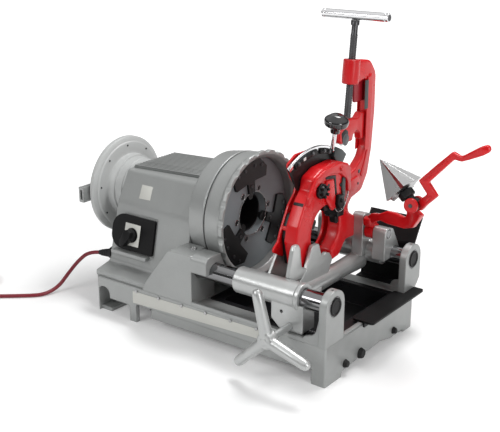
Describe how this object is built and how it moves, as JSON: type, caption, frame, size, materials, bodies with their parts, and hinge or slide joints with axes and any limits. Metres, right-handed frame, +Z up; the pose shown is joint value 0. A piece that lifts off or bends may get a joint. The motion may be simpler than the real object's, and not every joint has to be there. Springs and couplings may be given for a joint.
{
  "type": "pipe threading machine",
  "caption": "Bench pipe threading machine: geared spindle with hammer chuck, two rails, and a carriage with die head, wheel cutter and reamer.",
  "frame": {"origin": "on the floor under the middle of the base's four bolt holes, below the spindle axis", "axes": "+X along the spindle from the rear wheel to the carriage end, -Y the operator's side, +Z up"},
  "size_m": [1.4232, 0.685, 0.7541],
  "materials": {
    "cast_paint": "satin grey enamel on an aluminium casting",
    "cast_pale": "pale satin grey enamel on a casting",
    "bronze": "bronze bearing metal",
    "ground_steel": "ground and polished steel",
    "dark_steel": "oiled dark steel",
    "black_steel": "blackened steel",
    "black_plastic": "black moulded plastic",
    "black_rubber": "black rubber",
    "cord_red": "dark red rubber sheath",
    "tool_red": "glossy red enamel"
  },
  "bodies": {
    "base": {"base_casting": "cast_paint", "bed_casting": "cast_paint", "gear_housing": "cast_paint", "top_cover": "cast_paint", "barrel_ring": "cast_paint", "front_bearing": "bronze", "rear_bearing": "bronze", "front_rail": "ground_steel", "rear_rail": "ground_steel", "feed_rack": "dark_steel", "chip_tray": "black_plastic", "tray_spout": "black_plastic", "splash_guard": "black_plastic", "end_plugs": "black_rubber", "motor_casing": "cast_paint", "switch_plate": "black_plastic", "strain_relief": "black_rubber", "power_cord": "cord_red", "cord_coil": "cord_red", "plug": "black_rubber"},
    "switch_knob": {"switch_knob": "black_plastic"},
    "spindle": {"spindle_tube": "dark_steel", "ring_gear": "dark_steel", "chuck_body": "cast_pale", "jaw_covers": "black_steel", "rear_chuck_plate": "cast_paint"},
    "motor_rotor": {"motor_rotor": "dark_steel"},
    "chuck_wheel": {"chuck_wheel": "cast_paint"},
    "jaw_1": {"jaw_1": "black_steel"},
    "jaw_2": {"jaw_2": "black_steel"},
    "jaw_3": {"jaw_3": "black_steel"},
    "rear_wheel": {"rear_wheel": "cast_pale"},
    "rear_jaw_1": {"rear_jaw_1": "dark_steel"},
    "rear_jaw_2": {"rear_jaw_2": "dark_steel"},
    "rear_jaw_3": {"rear_jaw_3": "dark_steel"},
    "carriage": {"carriage_casting": "cast_pale", "tool_shaft": "ground_steel"},
    "feed_wheel": {"feed_wheel": "cast_pale", "feed_shaft": "dark_steel"},
    "die_head": {"die_head_frame": "tool_red", "die_head_plate": "tool_red"},
    "cam_lever": {"cam_plate": "ground_steel", "lever_knob": "black_plastic"},
    "die_1": {"die_1": "black_steel"},
    "die_2": {"die_2": "black_steel"},
    "die_3": {"die_3": "black_steel"},
    "die_4": {"die_4": "black_steel"},
    "lock_knob": {"lock_knob": "black_steel"},
    "cutter": {"cutter_frame": "tool_red", "cutter_guides": "dark_steel"},
    "cutter_slider": {"cutter_slider": "tool_red"},
    "cutter_screw": {"cutter_screw": "dark_steel", "t_bar": "ground_steel"},
    "cutter_wheel": {"cutter_wheel": "dark_steel"},
    "roller_1": {"roller_1": "dark_steel"},
    "roller_2": {"roller_2": "dark_steel"},
    "reamer_arm": {"reamer_arm": "tool_red"},
    "reamer": {"reamer_cone": "dark_steel", "reamer_collar": "black_steel"}
  },
  "joints": [
    {"name": "switch_turn", "type": "hinge", "parent": "base", "child": "switch_knob", "pos_m": [-0.276, -0.15278, 0.20072], "axis": [0, -0.9703, 0.2419], "range_deg": [-60, 60]},
    {"name": "spindle_turn", "type": "hinge", "parent": "base", "child": "spindle", "pos_m": [0, 0, 0.274], "axis": [1, 0, 0], "continuous": true},
    {"name": "motor_turn", "type": "hinge", "parent": "base", "child": "motor_rotor", "pos_m": [-0.25, 0.052, 0.18393], "axis": [1, 0, 0], "continuous": true},
    {"name": "chuck_wheel_turn", "type": "hinge", "parent": "spindle", "child": "chuck_wheel", "pos_m": [0, 0, 0.274], "axis": [1, 0, 0], "range_deg": [-54, 180]},
    {"name": "jaw_1_slide", "type": "slide", "parent": "spindle", "child": "jaw_1", "axis": [0, 0.1392, -0.9903], "range_m": [-0.009, 0.03]},
    {"name": "jaw_2_slide", "type": "slide", "parent": "spindle", "child": "jaw_2", "axis": [0, 0.788, 0.6157], "range_m": [-0.009, 0.03]},
    {"name": "jaw_3_slide", "type": "slide", "parent": "spindle", "child": "jaw_3", "axis": [0, -0.9272, 0.3746], "range_m": [-0.009, 0.03]},
    {"name": "rear_wheel_turn", "type": "hinge", "parent": "spindle", "child": "rear_wheel", "pos_m": [-0.43, 0, 0.274], "axis": [1, 0, 0], "range_deg": [-54, 150]},
    {"name": "rear_jaw_1_slide", "type": "slide", "parent": "spindle", "child": "rear_jaw_1", "axis": [0, 0, -1], "range_m": [-0.006, 0.02]},
    {"name": "rear_jaw_2_slide", "type": "slide", "parent": "spindle", "child": "rear_jaw_2", "axis": [0, 0.866, 0.5], "range_m": [-0.006, 0.02]},
    {"name": "rear_jaw_3_slide", "type": "slide", "parent": "spindle", "child": "rear_jaw_3", "axis": [0, -0.866, 0.5], "range_m": [-0.006, 0.02]},
    {"name": "carriage_slide", "type": "slide", "parent": "base", "child": "carriage", "axis": [1, 0, 0], "range_m": [-0.06, 0.032]},
    {"name": "feed_turn", "type": "hinge", "parent": "carriage", "child": "feed_wheel", "pos_m": [0.25, -0.2, 0.117], "axis": [0, 1, 0], "range_deg": [-290, 220]},
    {"name": "die_head_lift", "type": "hinge", "parent": "carriage", "child": "die_head", "pos_m": [0.2, 0.146, 0.242], "axis": [1, 0, 0], "range_deg": [-80, 0]},
    {"name": "cam_turn", "type": "hinge", "parent": "die_head", "child": "cam_lever", "pos_m": [0.168, 0, 0.274], "axis": [1, 0, 0], "range_deg": [-8, 20]},
    {"name": "die_1_slide", "type": "slide", "parent": "die_head", "child": "die_1", "axis": [0, 0.9659, 0.2588], "range_m": [-0.003, 0.007]},
    {"name": "die_2_slide", "type": "slide", "parent": "die_head", "child": "die_2", "axis": [0, 0.1045, 0.9945], "range_m": [-0.003, 0.007]},
    {"name": "die_3_slide", "type": "slide", "parent": "die_head", "child": "die_3", "axis": [0, -0.866, 0.5], "range_m": [-0.003, 0.007]},
    {"name": "die_4_slide", "type": "slide", "parent": "die_head", "child": "die_4", "axis": [0, -0.8829, -0.4695], "range_m": [-0.003, 0.007]},
    {"name": "lock_turn", "type": "hinge", "parent": "die_head", "child": "lock_knob", "pos_m": [0.217, -0.029, 0.378], "axis": [1, 0, 0], "range_deg": [-180, 180]},
    {"name": "cutter_swing", "type": "hinge", "parent": "carriage", "child": "cutter", "pos_m": [0.2, 0.146, 0.242], "axis": [1, 0, 0], "range_deg": [0, 100]},
    {"name": "cutter_feed", "type": "slide", "parent": "cutter", "child": "cutter_slider", "axis": [0, -0.1011, -0.9949], "range_m": [-0.01, 0.024]},
    {"name": "cutter_screw_turn", "type": "hinge", "parent": "cutter_slider", "child": "cutter_screw", "pos_m": [0.1375, 0.198, 0.497], "axis": [0, -0.1011, -0.9949], "range_deg": [-900, 2700]},
    {"name": "cutter_wheel_turn", "type": "hinge", "parent": "cutter_slider", "child": "cutter_wheel", "pos_m": [0.1375, 0.178, 0.452], "axis": [1, 0, 0], "continuous": true},
    {"name": "roller_1_turn", "type": "hinge", "parent": "cutter", "child": "roller_1", "pos_m": [0.1375, 0.192, 0.334], "axis": [1, 0, 0], "continuous": true},
    {"name": "roller_2_turn", "type": "hinge", "parent": "cutter", "child": "roller_2", "pos_m": [0.1375, 0.246, 0.352], "axis": [1, 0, 0], "continuous": true},
    {"name": "reamer_swing", "type": "hinge", "parent": "carriage", "child": "reamer_arm", "pos_m": [0.2, 0.146, 0.242], "axis": [1, 0, 0], "range_deg": [0, 40]},
    {"name": "reamer_tilt", "type": "hinge", "parent": "reamer_arm", "child": "reamer", "pos_m": [0.405, 0.055, 0.362], "axis": [0, -0.9973, 0.073], "range_deg": [0, 42.3]}
  ],
  "couplings": [
    {"joint": "motor_turn", "follows": "spindle_turn", "ratio": -3.3333},
    {"joint": "jaw_1_slide", "follows": "chuck_wheel_turn", "m_per_rad": 0.0094538},
    {"joint": "jaw_2_slide", "follows": "chuck_wheel_turn", "m_per_rad": 0.0094538},
    {"joint": "jaw_3_slide", "follows": "chuck_wheel_turn", "m_per_rad": 0.0094538},
    {"joint": "rear_jaw_1_slide", "follows": "rear_wheel_turn", "m_per_rad": 0.0060734},
    {"joint": "rear_jaw_2_slide", "follows": "rear_wheel_turn", "m_per_rad": 0.0060734},
    {"joint": "rear_jaw_3_slide", "follows": "rear_wheel_turn", "m_per_rad": 0.0060734},
    {"joint": "feed_turn", "follows": "carriage_slide", "rad_per_m": 83.333},
    {"joint": "die_1_slide", "follows": "cam_turn", "m_per_rad": 0.019853},
    {"joint": "die_2_slide", "follows": "cam_turn", "m_per_rad": 0.019853},
    {"joint": "die_3_slide", "follows": "cam_turn", "m_per_rad": 0.019853},
    {"joint": "die_4_slide", "follows": "cam_turn", "m_per_rad": 0.019853},
    {"joint": "cutter_screw_turn", "follows": "cutter_feed", "rad_per_m": 1570.8}
  ]
}
